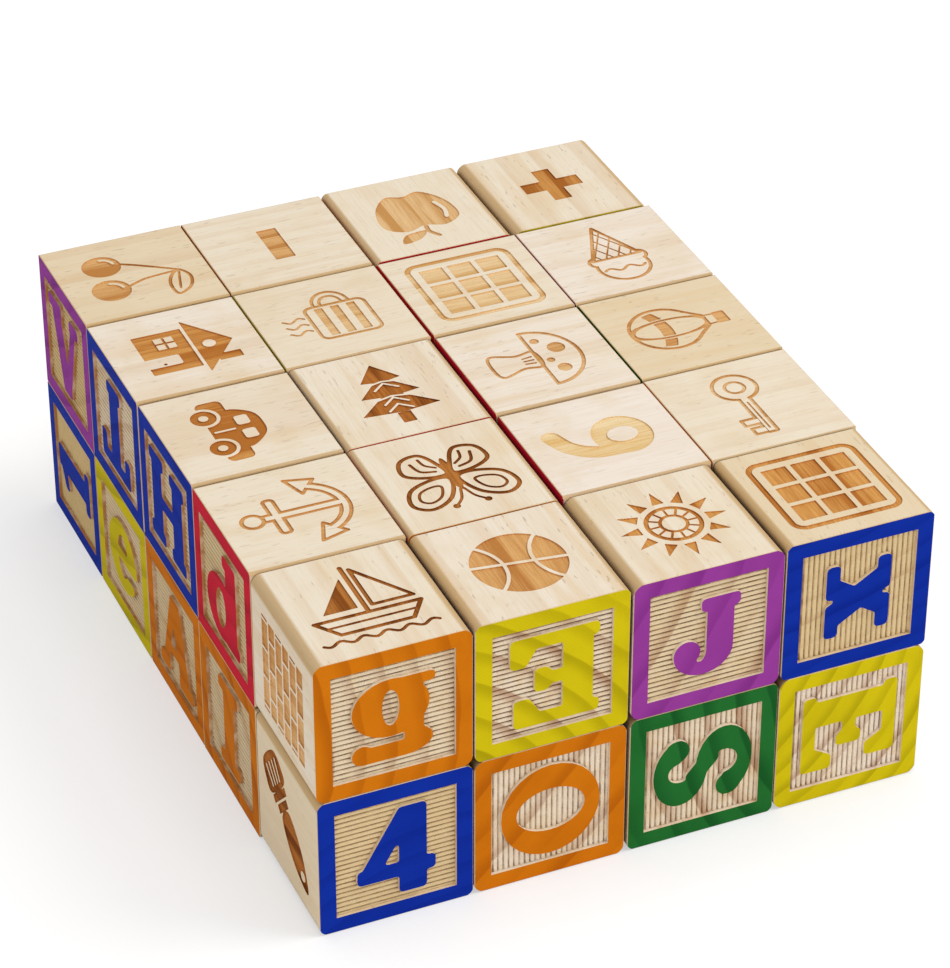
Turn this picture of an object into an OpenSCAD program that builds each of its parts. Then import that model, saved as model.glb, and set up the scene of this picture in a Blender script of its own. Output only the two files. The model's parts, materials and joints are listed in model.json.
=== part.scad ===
// Set of forty wooden alphabet blocks, packed two layers high.
// Millimetres. +X runs right along the front, +Y to the back, +Z up. Origin: bottom centre.
// Each block is cut from a square stick, so two ends show end grain and carry a framed letter.

/* [Block] */
// Edge of one block
block_edge = 30; // [26:0.5:40]
// Mean radius of the long edges on blocks that point at the front
stick_edge_r = 2; // [1.2:0.1:2.5]
// Mean radius of the long edges on blocks that lie across
cross_edge_r = 0.7; // [0.5:0.1:2]
// How far those radii stray from block to block, as a share
edge_spread = 0.25; // [0:0.05:0.3]
// Radius of the eased edges round the two sawn ends
end_edge_r = 0.25; // [0.15:0.05:0.6]

/* [Framed end] */
// Width of the painted frame
frame_w = 3.3; // [2.5:0.1:3.6]
// Depth of the sunk panel round the letter
panel_depth = 0.9; // [0.5:0.1:2]
// Thickness of the painted skin on the frame and the letter
paint_depth = 0.3; // [0.2:0.05:0.35]

/* [Letter] */
// Height of a capital
letter_h = 19.6; // [17.6:0.2:20]
// Width of the heavy strokes
stem_w = 5.4; // [4.6:0.1:5.6]
// Width of the light strokes
hair_w = 3; // [2.4:0.1:3.4]
// Thickness of the slab serifs
slab_t = 2.8; // [2.4:0.1:3]
// Overhang of the serifs past their stroke
slab_out = 1.2; // [0.8:0.1:1.5]
// Radius of the letter's outer corners
letter_corner_r = 0.9; // [0.4:0.05:1]
// Radius left by the cutter in the letter's inner corners
letter_fillet_r = 0.4; // [0.2:0.05:0.5]

/* [Stack] */
// Play between neighbouring blocks
block_gap = 0.3; // [0.3:0.05:2]
// Extra play between the two middle columns
middle_gap = 0.3; // [0:0.05:1]
// Most that a block is pushed out of line
slip = 0.05; // [0:0.01:0.06]
// Most that a block is turned out of line, in degrees
twist = 0.08; // [0:0.02:0.1]

/* [Hidden] */
$fa = 12;
$fs = 0.35;
columns = 4;
rows = 5;
wood = [0.93, 0.85, 0.72];
paints = [
  ["orange", [0.84, 0.45, 0.08]],
  ["yellow", [0.80, 0.74, 0.08]],
  ["purple", [0.57, 0.18, 0.56]],
  ["blue", [0.07, 0.17, 0.66]],
  ["green", [0.10, 0.42, 0.19]],
  ["red", [0.74, 0.13, 0.22]],
];
half = block_edge / 2;
pitch = block_edge + block_gap;
panel = block_edge - 2 * frame_w;
over = 1;
// The skin reaches into the wood, so that the two are one piece
skin = 2 * paint_depth;

// The letters are drawn on a grid sixteen units high, centred on the face
cap = 16;
grid = letter_h / cap;
// On a small panel the letters shrink, so that they stay clear of the frame
letter_clear = 1.6;
letter_scale = min(letter_h, panel - 2 * letter_clear) / cap;
top = cap / 2;
base = -cap / 2;
st = stem_w / grid;
hr = hair_w / grid;
sl = slab_t / grid;
ov = slab_out / grid;

// One line per block: paint, first end, its turn, second end, its turn, direction of the stick.
// The first end faces the front on a "y" block and the left side on an "x" block.
upper_layer = [
  ["orange", "g", 0, "G", 90, "y"], ["yellow", "E", 180, "7", 0, "y"],
  ["purple", "J", 0, "2", 270, "y"], ["blue", "x", 90, "5", 0, "y"],
  ["red", "d", 0, "D", 90, "x"], ["orange", "K", 0, "8", 90, "y"],
  ["red", "P", 0, "p", 0, "x"], ["orange", "Y", 0, "9", 0, "x"],
  ["blue", "H", 0, "b", 0, "x"], ["red", "L", 90, "3", 0, "y"],
  ["red", "F", 180, "Q", 0, "x"], ["green", "U", 0, "u", 90, "x"],
  ["blue", "T", 180, "0", 0, "x"], ["yellow", "C", 90, "6", 0, "x"],
  ["red", "B", 0, "W", 90, "x"], ["purple", "M", 0, "R", 180, "x"],
  ["purple", "V", 0, "A", 0, "x"], ["orange", "Z", 90, "K", 0, "x"],
  ["red", "S", 0, "q", 0, "y"], ["yellow", "N", 0, "B", 0, "y"],
];
lower_layer = [
  ["blue", "4", 0, "W", 0, "y"], ["orange", "O", 90, "P", 180, "y"],
  ["green", "S", 90, "F", 0, "y"], ["yellow", "E", 270, "L", 0, "y"],
  ["orange", "I", 0, "Z", 0, "x"], ["blue", "n", 0, "N", 0, "y"],
  ["purple", "C", 0, "R", 0, "x"], ["red", "G", 0, "4", 0, "x"],
  ["orange", "A", 0, "a", 0, "x"], ["green", "D", 0, "X", 0, "x"],
  ["yellow", "Q", 0, "1", 0, "y"], ["blue", "M", 0, "S", 90, "x"],
  ["yellow", "e", 0, "O", 0, "x"], ["red", "T", 0, "H", 0, "y"],
  ["green", "V", 0, "J", 0, "x"], ["orange", "U", 0, "e", 180, "x"],
  ["blue", "1", 90, "I", 0, "x"], ["purple", "a", 0, "Y", 0, "y"],
  ["green", "g", 0, "Z", 90, "x"], ["red", "b", 0, "E", 0, "y"],
];
blocks = concat(lower_layer, upper_layer);
layer_size = columns * rows;

function block_name(b) = str("block_", b[0], "_", b[1], "_", b[3]);
function paint_of(name) = [for (p = paints) if (p[0] == name) p[1]][0];
// Facets round a full circle: a multiple of four, so that the rounding meets the flats
function corner_steps(r) = 4 * ceil(1 + 2.5 * sqrt(r));
// A spread of values between -1 and 1 that looks unordered
function stray(i, k) = sin(137.5 * (i + 1) * k);

// Letter parts

module bar(x0, y0, x1, y1) {
  translate([x0, y0]) square([x1 - x0, y1 - y0]);
}

module stem(x, w = st, y0 = base, y1 = top) {
  bar(x - w / 2, y0, x + w / 2, y1);
}

module slant(x0, y0, x1, y1, w) {
  polygon([[x0 - w / 2, y0], [x0 + w / 2, y0], [x1 + w / 2, y1], [x1 - w / 2, y1]]);
}

module foot(x, w = st) {
  bar(x - w / 2 - ov, base, x + w / 2 + ov, base + sl);
}

module head(x, w = st) {
  bar(x - w / 2 - ov, top - sl, x + w / 2 + ov, top);
}

module oval(x, y, rx, ry) {
  translate([x, y]) scale([rx, ry]) circle(1, $fn = 28);
}

module bowl(x, y, rx, ry, wx = st, wy = hr) {
  difference() {
    oval(x, y, rx, ry);
    oval(x, y, rx - wx, ry - wy);
  }
}

module ball(x, y, r = 2.1) {
  translate([x, y]) circle(r, $fn = 16);
}

module right_of(x) {
  intersection() {
    children();
    bar(x, -cap, cap, cap);
  }
}

module above(y) {
  intersection() {
    children();
    bar(-cap, y, cap, cap);
  }
}

// Stroke from the stem of a D, P, R or B round its bowl
module bulge(x, y, rx, ry) {
  right_of(x) bowl(x, y, rx, ry);
  bar(x - st, y + ry - sl, x, y + ry);
  bar(x - st, y - ry, x, y - ry + sl);
}

// Half ring that joins a left stroke to a right one over the top
module arch(left, left_w, right, right_w, y, ry) {
  outer = [left - left_w / 2, right + right_w / 2];
  inner = [left + left_w / 2, right - right_w / 2];
  above(y) difference() {
    oval((outer[0] + outer[1]) / 2, y, (outer[1] - outer[0]) / 2, ry);
    oval((inner[0] + inner[1]) / 2, y, (inner[1] - inner[0]) / 2, ry - hr);
  }
}

// The same round the bottom
module cup(left, left_w, right, right_w, y, ry) {
  mirror([0, 1]) arch(left, left_w, right, right_w, -y, ry);
}

module capital_c() {
  difference() {
    bowl(0, 0, 7.6, 8.2);
    bar(2, -2.8, cap, 2.6);
  }
  bar(3, 2.6, 6.6, 6.4);
}

// Wedge that ends an arm: as wide as w at its tip, wider where it leaves the arm
module wedge(x, y0, y1, w = hr) {
  polygon([[x, y0], [x, y1], [x - w, y1], [x - 2 * w, y0]]);
}

module capital_e(low_arm) {
  stem(-4, st * 1.1);
  foot(-4, st * 1.1);
  head(-4, st * 1.1);
  bar(-4, top - sl, 6.2, top);
  wedge(6.2, top - sl / 2, 2.9);
  bar(-4, -sl / 2, 2.6, sl / 2);
  for (y = [-2.1, 2.1]) wedge(2.9, 0, y, hr * 0.8);
  if (low_arm) {
    bar(-4, base, 6.8, base + sl);
    wedge(6.8, base + sl / 2, -2.8);
  }
}

module capital_p() {
  stem(-3.8);
  foot(-3.8);
  head(-3.8);
  bulge(-1.2, 3.2, 7.6, 4.8);
}

module small_d() {
  bowl(-1.2, -2.6, 6, 5.6, st * 0.9, hr * 0.85);
  stem(3.4);
  bar(0, top - sl, 3.4, top);
  bar(3.4, base, 3.4 + st / 2 + ov, base + sl);
}

module small_n() {
  stem(-4.4, st, -6.2, 6.2);
  bar(-4.4 - st / 2 - ov, 6.2 - sl, -4.4, 6.2);
  bar(-4.4 - st / 2 - ov, -6.2, -4.4 + st / 2 + ov, -6.2 + sl);
  stem(4.2, st, -6.2, 1.2);
  arch(-4.4, st, 4.2, st, 1.2, 5);
  bar(4.2 - st / 2 - ov, -6.2, 4.2 + st / 2 + ov, -6.2 + sl);
}

module six() {
  bowl(0, -3, 6.8, 5.2);
  above(-3) difference() {
    bowl(0, 0, 6.8, 8.2);
    bar(0.6, -cap, cap, 4.6);
  }
  ball(4, 5);
}

module glyph(c) {
  if (c == "A") {
    slant(-4.9, base, 0, top, hr);
    slant(4.7, base, 0.4, top, st);
    bar(-3.2, -3.6, 3, -3.6 + sl * 0.8);
    foot(-5, hr);
    foot(4.7);
  }
  if (c == "B") {
    stem(-3.8);
    bar(-3.8 - st / 2 - ov, base, -1.2, base + sl);
    bar(-3.8 - st / 2 - ov, top - sl, -1.2, top);
    bulge(-1.2, 3.8, 6.8, 4.2);
    bulge(-1.2, -3.5, 7.9, 4.5);
  }
  if (c == "C") {
    capital_c();
  }
  if (c == "D") {
    stem(-4.2);
    foot(-4.2);
    head(-4.2);
    bulge(-2, 0, 9.2, 8);
  }
  if (c == "E") {
    capital_e(true);
  }
  if (c == "F") {
    capital_e(false);
  }
  if (c == "G") {
    capital_c();
    stem(4.6, st * 0.9, -6, -0.4);
    bar(1.2, -0.4 - sl, 8, -0.4);
  }
  if (c == "H") {
    for (x = [-4.6, 4.6]) {
      stem(x);
      foot(x);
      head(x);
    }
    bar(-4.6, -sl / 2, 4.6, sl / 2);
  }
  if (c == "I") {
    stem(0);
    foot(0, st + 2 * ov);
    head(0, st + 2 * ov);
  }
  if (c == "J") {
    stem(2, st, -2.6, 6.8);
    bar(2 - st / 2 - ov, 6.8 - sl, 2 + st / 2 + ov, 6.8);
    cup(-3.9, 3.2, 2, st, -2.6, 4.2);
    ball(-3.3, -2.4, 2.2);
  }
  if (c == "K") {
    stem(-4.2);
    foot(-4.2);
    head(-4.2);
    slant(-3, -1.6, 4.2, top, hr);
    slant(4.6, base, 0.2, 1.6, st);
    foot(4.8);
    head(4.4, hr);
  }
  if (c == "L") {
    stem(-3.6);
    foot(-3.6);
    head(-3.6);
    bar(-3.6, base, 6.6, base + sl);
    bar(6.6 - hr, base, 6.6, -2);
  }
  if (c == "M") {
    stem(-5.6, hr);
    stem(5.2, st * 0.9);
    slant(-0.4, -5.4, -4.6, top, st * 0.9);
    slant(-0.4, -5.4, 4.6, top, hr);
    foot(-5.6, hr);
    foot(5.2, st * 0.9);
    bar(-5.6 - hr / 2 - ov, top - sl, -4, top);
    bar(4, top - sl, 5.2 + st * 0.45 + ov, top);
  }
  if (c == "N") {
    stem(-5, hr);
    stem(5, hr);
    slant(4.2, base, -4.4, top, st);
    foot(-5, hr);
    bar(-5 - hr / 2 - ov, top - sl, -3, top);
    head(5, hr);
  }
  if (c == "O") {
    bowl(0, 0, 8.3, 8);
  }
  if (c == "P") {
    capital_p();
  }
  if (c == "Q") {
    bowl(0, 0.6, 7.4, 7.6);
    slant(6, base - 0.3, 1.4, -2.2, hr * 1.2);
  }
  if (c == "R") {
    capital_p();
    slant(4.6, base, 1, -0.4, st);
    bar(4, base, 4.6 + st / 2 + ov, base + sl);
  }
  if (c == "S") {
    difference() {
      bowl(0, 3.7, 6.2, 4.5);
      bar(0, -cap, cap, 3.8);
    }
    difference() {
      bowl(0.2, -3.5, 6.6, 4.7);
      bar(-cap, -3.4, 0, cap);
    }
    slant(3.2, -2.6, -3, 2.8, st);
    ball(4.1, 4.4);
    ball(-4.3, -4.4);
  }
  if (c == "T") {
    stem(0);
    foot(0);
    bar(-6.8, top - sl, 6.8, top);
    bar(-6.8, 2.8, -6.8 + hr, top);
    bar(6.8 - hr, 2.8, 6.8, top);
  }
  if (c == "U") {
    stem(-4, st, -2, top);
    stem(5, hr, -2, top);
    cup(-4, st, 5, hr, -2, 6);
    head(-4);
    head(5, hr);
  }
  if (c == "V") {
    slant(0.2, base, -4.6, top, st);
    slant(0.4, base, 4.8, top, hr);
    head(-4.6);
    head(4.8, hr);
  }
  if (c == "W") {
    slant(-3.2, base, -6, top, st * 0.8);
    slant(-3, base, 0.2, top, hr * 0.85);
    slant(3, base, 0.2, top, st * 0.8);
    slant(3.4, base, 6.2, top, hr * 0.85);
    head(-6, st * 0.7);
    head(6.2, hr * 0.8);
  }
  if (c == "X") {
    slant(4.3, base, -4.3, top, st);
    slant(-4.4, base, 4.4, top, hr);
    foot(-4.4, hr);
    foot(4.2);
    head(-4.2);
    head(4.4, hr);
  }
  if (c == "Y") {
    stem(0, st, base, 0);
    foot(0);
    slant(0, -1, -4.6, top, st);
    slant(0.6, -1, 4.8, top, hr);
    head(-4.6);
    head(4.8, hr);
  }
  if (c == "Z") {
    bar(-6.2, top - sl, 6.2, top);
    bar(-6.2, base, 6.2, base + sl);
    slant(-3.6, base, 3.6, top, st);
    bar(-6.2, 2.8, -6.2 + hr, top);
    bar(6.2 - hr, base, 6.2, -2.8);
  }
  if (c == "0") {
    bowl(0, 0, 6.6, 8.2);
  }
  if (c == "1") {
    stem(0.6);
    foot(0.6, st + 2 * ov);
    polygon([[0.6, top], [-5, 5], [-5, 3], [-1.4, 4]]);
  }
  if (c == "2") {
    above(3.2) bowl(0, 3.2, 6.4, 5);
    ball(-4, 3.4);
    slant(-4, base, 4, 3.4, st);
    bar(-6.2, base, 6.4, base + sl);
    bar(6.4 - hr, base, 6.4, -3.6);
  }
  if (c == "3") {
    difference() {
      union() {
        bowl(0, 3.8, 5.8, 4.4);
        bowl(0, -3.4, 6.6, 4.8);
      }
      bar(-cap, -3.2, -0.6, 3.6);
    }
    bar(-1.6, -0.6, 1.6, 1.2);
    ball(-3.6, 3.8);
    ball(-4.2, -3.8);
  }
  if (c == "4") {
    stem(2.6);
    slant(-4.5, -3.6, 2.2, top, hr * 1.4);
    bar(-6.2, -4.9, 6.2, -4.9 + sl * 1.2);
  }
  if (c == "5") {
    bar(-4.6, top - sl * 1.2, 5.2, top);
    bar(-4.8, -0.4, -4.8 + hr, top);
    difference() {
      bowl(0, -2.6, 6.8, 5.6);
      bar(-cap, -3.6, -1, -0.4);
      bar(-cap, -cap, -4.8, cap);
    }
    ball(-4, -4);
  }
  if (c == "6") {
    six();
  }
  if (c == "7") {
    bar(-6, top - sl * 1.2, 6, top);
    bar(-6, 2.6, -6 + hr, top);
    slant(-1.6, base, 3.6, top, st);
  }
  if (c == "8") {
    bowl(0, 3.8, 5.8, 4.4, st * 0.85);
    bowl(0, -3.5, 6.8, 4.7);
  }
  if (c == "9") {
    rotate(180) six();
  }
  if (c == "a") {
    arch(-4.2, 3, 2.8, st, 1.8, 4.6);
    stem(2.8, st, -6.2, 2);
    bowl(-1.6, -3, 5, 3.3, st * 0.75, hr * 0.75);
    ball(-4, 2.8, 1.7);
    bar(2.8, -6.2, 2.8 + st / 2 + ov, -6.2 + sl);
  }
  if (c == "b") {
    mirror([1, 0]) small_d();
  }
  if (c == "d") {
    small_d();
  }
  if (c == "e") {
    difference() {
      bowl(0, 0, 6.8, 6.6);
      bar(1.4, -3.2, cap, -1);
    }
    bar(-4, -1, 6, 1.1);
  }
  if (c == "g") {
    bowl(-0.5, 1.9, 6, 5.1, st * 1.06, hr * 0.8);
    bar(1, 6.8 - sl * 0.75, 6.4, 6.8);
    bar(1.6, -5, 4.6, 0.6);
    right_of(1.6) oval(1.6, -4.7, 4.4, 2.5);
    bar(-5, -7.2, 1.7, -7.2 + sl * 1.25);
    ball(-4.9, -5.5, 1.7);
  }
  if (c == "n") {
    small_n();
  }
  if (c == "x") {
    slant(3.3, -5.4, -3.3, 5.4, st * 1.15);
    slant(-3.5, -5.4, 3.5, 5.4, hr * 1.4);
    for (x = [-6.5, 0.5], y = [-5.4, 5.4 - sl]) bar(x, y, x + 6, y + sl);
  }
  if (c == "p") {
    rotate(180) small_d();
  }
  if (c == "q") {
    rotate(180) mirror([1, 0]) small_d();
  }
  if (c == "u") {
    rotate(180) small_n();
  }
}

// A letter with its corners eased, full size
module letter(c) {
  offset(r = letter_corner_r, $fn = 12)
    offset(r = -letter_corner_r - letter_fillet_r, $fn = 12)
      offset(delta = letter_fillet_r)
        scale(letter_scale) glyph(c);
}

// Everything cut from one end so that the letter is left standing, the end face at height 0
module letter_cut(c) {
  translate([0, 0, -panel_depth])
    linear_extrude(panel_depth + over)
      difference() {
        square(panel, center = true);
        letter(c);
      }
}

module round_square(r) {
  difference() {
    square(block_edge, center = true);
    for (a = [0:90:270])
      rotate(a) translate([half - r, half - r]) difference() {
        square(2 * r);
        circle(r, $fn = corner_steps(r));
      }
  }
}

module stick(length, r) {
  linear_extrude(length, center = true) round_square(r);
}

// A block with its stick upright: wood between two painted skins, with a letter cut at each end
module upright_block(b, edge_r) {
  paint = paint_of(b[0]);
  difference() {
    intersection() {
      union() {
        color(wood) stick(block_edge - 2 * paint_depth, edge_r);
        for (s = [-1, 1])
          color(paint) translate([0, 0, s * (half - skin / 2)]) stick(skin, edge_r);
      }
      color(paint) rotate([90, 0, 0]) stick(2 * block_edge, end_edge_r);
      color(paint) rotate([0, 90, 0]) stick(2 * block_edge, end_edge_r);
    }
    color(wood) translate([0, 0, half]) rotate(b[2]) letter_cut(b[1]);
    color(wood) translate([0, 0, -half]) rotate([180, 0, 0]) rotate(b[4]) letter_cut(b[3]);
  }
}

// A block laid down: first end to the front, or to the left side
module laid_block(b, edge_r) {
  rotate([0, 0, b[5] == "x" ? -90 : 0]) rotate([90, 0, 0]) upright_block(b, edge_r);
}

// A block in its place in the stack, a little out of line as if set down by hand
module block(i) {
  place = i % layer_size;
  level = floor(i / layer_size);
  across = place % columns - (columns - 1) / 2;
  back = floor(place / columns) - (rows - 1) / 2;
  mean_r = blocks[i][5] == "x" ? cross_edge_r : stick_edge_r;
  translate([
    across * pitch + sign(across) * middle_gap / 2 + slip * stray(i, 1),
    back * pitch + slip * stray(i, 2),
    (level + 0.5) * block_edge,
  ])
    rotate([0, 0, twist * stray(i, 3)])
      laid_block(blocks[i], mean_r * (1 + edge_spread * stray(i, 4)));
}

for (i = [0:len(blocks) - 1])
  block(i);
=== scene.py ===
"""Looks of a set of forty wooden alphabet blocks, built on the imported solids."""

import json
import math
import random

import bmesh
import bpy
import numpy as np
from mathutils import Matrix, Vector
from mathutils.geometry import delaunay_2d_cdt


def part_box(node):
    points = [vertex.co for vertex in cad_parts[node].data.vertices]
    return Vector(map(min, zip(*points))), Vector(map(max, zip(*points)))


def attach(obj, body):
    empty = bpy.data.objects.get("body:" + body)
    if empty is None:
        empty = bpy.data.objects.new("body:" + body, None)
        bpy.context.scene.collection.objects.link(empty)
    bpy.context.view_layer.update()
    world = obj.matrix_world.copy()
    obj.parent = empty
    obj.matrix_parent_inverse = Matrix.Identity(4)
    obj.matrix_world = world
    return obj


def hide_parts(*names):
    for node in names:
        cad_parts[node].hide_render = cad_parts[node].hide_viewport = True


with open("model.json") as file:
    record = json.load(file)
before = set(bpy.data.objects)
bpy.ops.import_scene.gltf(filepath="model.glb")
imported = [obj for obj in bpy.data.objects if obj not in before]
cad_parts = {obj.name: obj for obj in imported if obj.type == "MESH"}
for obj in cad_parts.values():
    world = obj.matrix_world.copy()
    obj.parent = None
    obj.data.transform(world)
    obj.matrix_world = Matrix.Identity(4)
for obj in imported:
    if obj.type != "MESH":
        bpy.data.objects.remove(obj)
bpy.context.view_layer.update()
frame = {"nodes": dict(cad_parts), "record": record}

# Sizes of the solids, in millimetres
MM = 0.001
COLUMNS = 4
ROWS = 5
PITCH = 30.35
BLOCK_EDGE = 30.0
PANEL_HALF = 11.7
PANEL_DEPTH = 0.9
END_EDGE_R = 0.25

# Limits for reading the solids: millimetres and digits for places, shares of a direction for slopes
NEAR = 0.002
PLACE_DIGITS = 4
TINY = 1e-9
TWICE_LEAST_FLAT = 20
FLAT_SLOPE = 0.01
ROUNDED_SLOPE = 0.02
PAINTED_SLOPE = 0.8
FACES_UP = 0.5

# Ribs of the panels, in millimetres or shares of a rib
RIB_COUNT = 22
RIB_RISE = 0.3
GROOVE_SHARE = 0.23
LINE_OVERHANG = 0.4
# Keeps the folds off the corners of the letters
FOLD_SHIFT = 0.0137
# How dark the grooves of upright ribs are painted beside those of level ones: painted shade, less where
# the light from above reaches in
UPRIGHT_GROOVE_SHADE = 0.55

# Engraved figures, in millimetres: their lines are found on a grid and thinned out
ENGRAVE_DEPTH = 0.28
MOTIF_REACH = 12.6
FIGURE_SIZE = 1.2
GRID_STEP = 0.15
GRID_NUDGE = 1e-7
LINE_SLACK = 0.012
LEAST_LOOP = 0.03
LEAST_SQUARE = 1e-12

# Slack of the cuts in millimetres, and the distance in metres at which seams are welded
CUT_SLACK = 1e-6
WELD = 2e-7

# Ranges of the drawn grain: how far the pith is, the stick's length and the ring width in
# millimetres, and the contrast of the rings
PITH_FAR = (50, 130)
STICK_LENGTH = 400
RING_WIDTH = (4.2, 7.5)
CONTRAST = (0.25, 1)
# Picked out of some ten thousand for tints and rings that come close to those in the photo
GRAIN_SEED = 398397

# How far a rounded edge is tinted tan, as rubbed wear and painted shade, as a share of its radius
WORN_AND_SHADED_SHARE = 0.3
# How scorched the panels are, on blocks that point at the front and on blocks that lie across
FRONT_SCORCH = 0.1
ACROSS_SCORCH = 0.9

# Which face of a mesh has which material
WOOD, PAINT, RIBS, BURNT, RIM = range(5)
END_KINDS = {"high": PAINT, "low": RIBS, "wall": RIM}
SIDE_KINDS = {"high": WOOD, "low": BURNT, "wall": BURNT}


# Outlines of the engraved figures: each shape is a distance to its edge, below zero inside.
# They are drawn in millimetres about the middle of the side and scaled to their size later.

def disc(x, y, cx, cy, r):
    return np.hypot(x - cx, y - cy) - r


def oval(x, y, cx, cy, rx, ry):
    return (np.hypot((x - cx) / rx, (y - cy) / ry) - 1) * min(rx, ry)


def box(x, y, cx, cy, hx, hy, r=0.0):
    dx, dy = np.abs(x - cx) - hx + r, np.abs(y - cy) - hy + r
    outer = np.hypot(np.maximum(dx, 0), np.maximum(dy, 0))
    return outer + np.minimum(np.maximum(dx, dy), 0) - r


def stroke(x, y, points, width):
    best = np.full(x.shape, np.inf)
    for (ax, ay), (bx, by) in zip(points, points[1:]):
        ex, ey = bx - ax, by - ay
        square = ex * ex + ey * ey + LEAST_SQUARE
        t = np.clip(((x - ax) * ex + (y - ay) * ey) / square, 0, 1)
        best = np.minimum(best, np.hypot(x - ax - t * ex, y - ay - t * ey))
    return best - width / 2


def odd_crossings(x, y, starts, ends):
    """True where a ray from the point crosses the segments an odd number of times."""
    odd = np.zeros(x.shape, bool)
    for (ax, ay), (bx, by) in zip(starts, ends):
        if ay != by:
            odd ^= ((ay > y) != (by > y)) & (x < (bx - ax) * (y - ay) / (by - ay) + ax)
    return odd


def area(x, y, points):
    d = stroke(x, y, [*points, points[0]], 0)
    return np.where(odd_crossings(x, y, points, [*points[1:], points[0]]), -d, d)


def shrunk(x, y, rim, by, cx=0.0, cy=0.0):
    """The area inside a rim that is made smaller about a centre."""
    return area((x - cx) * by + cx, (y - cy) * by + cy, rim) / by


def line(d, width):
    return np.abs(d) - width / 2


def union(*shapes):
    return np.minimum.reduce(shapes)


def common(*shapes):
    return np.maximum.reduce(shapes)


def less(shape, *cuts):
    return np.maximum.reduce([shape, *[-c for c in cuts]])


def arc(cx, cy, rx, ry, start, end, n=20):
    turns = [math.radians(start + (end - start) * i / n) for i in range(n + 1)]
    return [(cx + rx * math.cos(t), cy + ry * math.sin(t)) for t in turns]


def smooth(points, closed=True, n=7):
    """Points of a curve through the points (Catmull-Rom)."""
    count = len(points)
    p = np.array(points, float)
    made = []
    for i in range(count if closed else count - 1):
        k = [(i + j) % count if closed else min(max(i + j, 0), count - 1) for j in (-1, 0, 1, 2)]
        a, b, c, d = p[k]
        for t in np.linspace(0, 1, n, endpoint=False):
            made.append(tuple(0.5 * (2 * b + (c - a) * t + (2 * a - 5 * b + 4 * c - d) * t ** 2
                                     + (3 * b - a - 3 * c + d) * t ** 3)))
    return made if closed else [*made, tuple(p[-1])]


def curve(x, y, points, width):
    return stroke(x, y, smooth(points, False), width)


def blob(x, y, points):
    return area(x, y, smooth(points))


def wave(x0, x1, y, height, length, n=48):
    xs = [x0 + (x1 - x0) * i / n for i in range(n + 1)]
    return [(px, y + height * math.sin(2 * math.pi * px / length)) for px in xs]


def around(x, y, count):
    """Coordinates folded so that one shape is repeated round the middle."""
    step = 2 * math.pi / count
    turn = (np.arctan2(y, x) + step / 2) % step - step / 2
    r = np.hypot(x, y)
    return r * np.cos(turn), r * np.sin(turn)


def boat(x, y):
    hull = area(x, y, [(-8.4, -2.8), (8.4, -2.8), (5.8, -6.6), (-5.6, -6.6)])
    sail = area(x, y, [(1.3, 8.2), (1.3, -1.3), (7.8, -1.3)])
    jib = area(x, y, [(-0.9, 6.6), (-0.9, -1.3), (-6.4, -1.3)])
    return union(line(hull, 0.75), stroke(x, y, [(0.2, -2.8), (0.2, 9)], 0.8), line(sail, 0.7), jib,
                 stroke(x, y, [(-7.1, -4.6), (7.1, -4.6)], 0.5),
                 stroke(x, y, wave(-9, 9, -8.4, 0.45, 3.6), 0.6))


def ball(x, y):
    seams = [line(disc(x, y, s * 9.4, 0, 7.2), 0.55) for s in (-1, 1)]
    return less(disc(x, y, 0, 0, 6.9), line(y + 0.15 * x, 0.55), *seams)


def sun(x, y):
    px, py = around(x, y, 12)
    ray = area(px, py, [(5.5, -1), (5.5, 1), (8.8, 0)])
    spoke = stroke(px, py, [(2.1, 0), (3.9, 0)], 0.4)
    return union(line(disc(x, y, 0, 0, 4.2), 0.75), line(disc(x, y, 0, 0, 2.1), 0.55), spoke, ray)


def grid(x, y):
    step = 4.9
    cx, cy = [np.clip(np.round(v / step), -1, 1) * step for v in (x, y)]
    return union(line(box(x, y, 0, 0, 8.7, 8.7, 1.9), 0.95), box(x - cx, y - cy, 0, 0, 2.05, 2.05))


def anchor(x, y):
    flukes = [area(x, y, [(s * 8.6, -0.8), (s * 4.2, -2.4), (s * 7.4, -5.2)]) for s in (-1, 1)]
    whole = union(box(x, y, 0, -0.8, 0.8, 6.4), box(x, y, 0, 3.4, 4.6, 0.8, 0.6),
                  stroke(x, y, arc(0, -1, 6.4, 6.4, 205, 335), 1.5), *flukes)
    return union(line(whole, 0.65), line(disc(x, y, 0, 7.3, 1.7), 0.7))


def butterfly(x, y):
    x = np.abs(x)
    upper_rim = smooth([(0.6, 0.9), (2.4, 5.6), (6.2, 7.6), (8.8, 5.6), (7.6, 1.8), (3.4, 0.1)])
    upper = area(x, y, upper_rim)
    lower = blob(x, y, [(0.6, -0.6), (4, -0.7), (7, -2.6), (6.2, -6.2), (2.9, -6.9), (1, -3.4)])
    return union(line(upper, 0.75), line(lower, 0.75), oval(x, y, 0, -0.4, 0.8, 4.6),
                 line(shrunk(x, y, upper_rim, 1.9, 5.2, 4), 0.5),
                 curve(x, y, [(2, -1.8), (4.2, -2.6), (5, -5)], 0.55),
                 curve(x, y, [(1.6, -2.8), (3, -4), (3.4, -5.8)], 0.5),
                 curve(x, y, [(0.3, 4), (1.1, 6.4), (2.5, 8)], 0.5),
                 disc(x, y, 2.6, 8.1, 0.6))


def six(x, y):
    tail = curve(x, y, [(-3.5, -2.4), (-3, 2.6), (-0.4, 6), (3.2, 7.5)], 3.2)
    return less(union(oval(x, y, 0, -3.2, 5.2, 4.9), tail), oval(x, y, 0.1, -3.3, 2, 2.5))


def key(x, y):
    whole = union(disc(x, y, -5, 0, 3.6), box(x, y, 2.8, 0, 5.8, 0.9, 0.3),
                  box(x, y, 5, -1.9, 0.85, 1.5), box(x, y, 7.6, -1.6, 0.85, 1.2))
    return union(line(whole, 0.65), line(disc(x, y, -5, 0, 1.6), 0.6),
                 stroke(x, y, [(-0.4, 0), (7.4, 0)], 0.35))


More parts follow.
